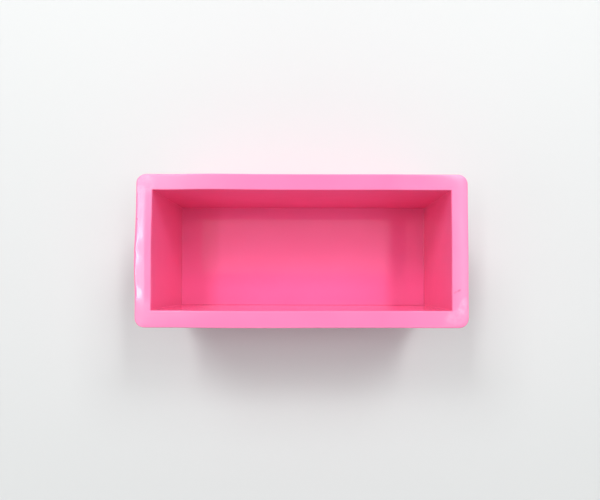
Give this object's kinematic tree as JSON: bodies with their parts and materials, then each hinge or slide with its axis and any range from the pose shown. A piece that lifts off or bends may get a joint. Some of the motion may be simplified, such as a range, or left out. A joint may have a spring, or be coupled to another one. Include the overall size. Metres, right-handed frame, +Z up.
{
  "type": "loaf soap mould",
  "caption": "Open-topped flexible silicone loaf mould with near-upright walls, square inside corners and a flat round-cornered rim, for casting a loaf of soap.",
  "frame": {"origin": "middle of the base, on the surface the mould stands on", "axes": "+X along the loaf, +Y across it towards the back, +Z up out of the open mouth"},
  "size_m": [0.2214, 0.102, 0.082],
  "materials": {
    "silicone": "satin pink silicone rubber"
  },
  "bodies": {
    "base": {"floor_pan": "silicone", "corner_post_front_left": "silicone", "corner_post_front_right": "silicone", "corner_post_back_left": "silicone", "corner_post_back_right": "silicone"},
    "front_side": {"front_wall": "silicone", "front_rim": "silicone"},
    "back_side": {"back_wall": "silicone", "back_rim": "silicone"},
    "left_end": {"left_end_wall": "silicone", "left_end_rim": "silicone"},
    "right_end": {"right_end_wall": "silicone", "right_end_rim": "silicone"}
  },
  "joints": [
    {"name": "front_side_flex", "type": "hinge", "parent": "base", "child": "front_side", "pos_m": [0, -0.03995, 0.004], "axis": [1, 0, 0], "range_deg": [0, 12], "stiffness_Nm_per_rad": 0.3, "springref_deg": -0.57},
    {"name": "back_side_flex", "type": "hinge", "parent": "base", "child": "back_side", "pos_m": [0, 0.03995, 0.004], "axis": [-1, 0, 0], "range_deg": [0, 12], "stiffness_Nm_per_rad": 0.3, "springref_deg": -0.57},
    {"name": "left_end_flex", "type": "hinge", "parent": "base", "child": "left_end", "pos_m": [-0.0997, 0, 0.004], "axis": [0, -1, 0], "range_deg": [0, 5], "stiffness_Nm_per_rad": 1.5, "springref_deg": -0.57},
    {"name": "right_end_flex", "type": "hinge", "parent": "base", "child": "right_end", "pos_m": [0.0997, 0, 0.004], "axis": [0, 1, 0], "range_deg": [0, 5], "stiffness_Nm_per_rad": 1.5, "springref_deg": -0.57}
  ]
}
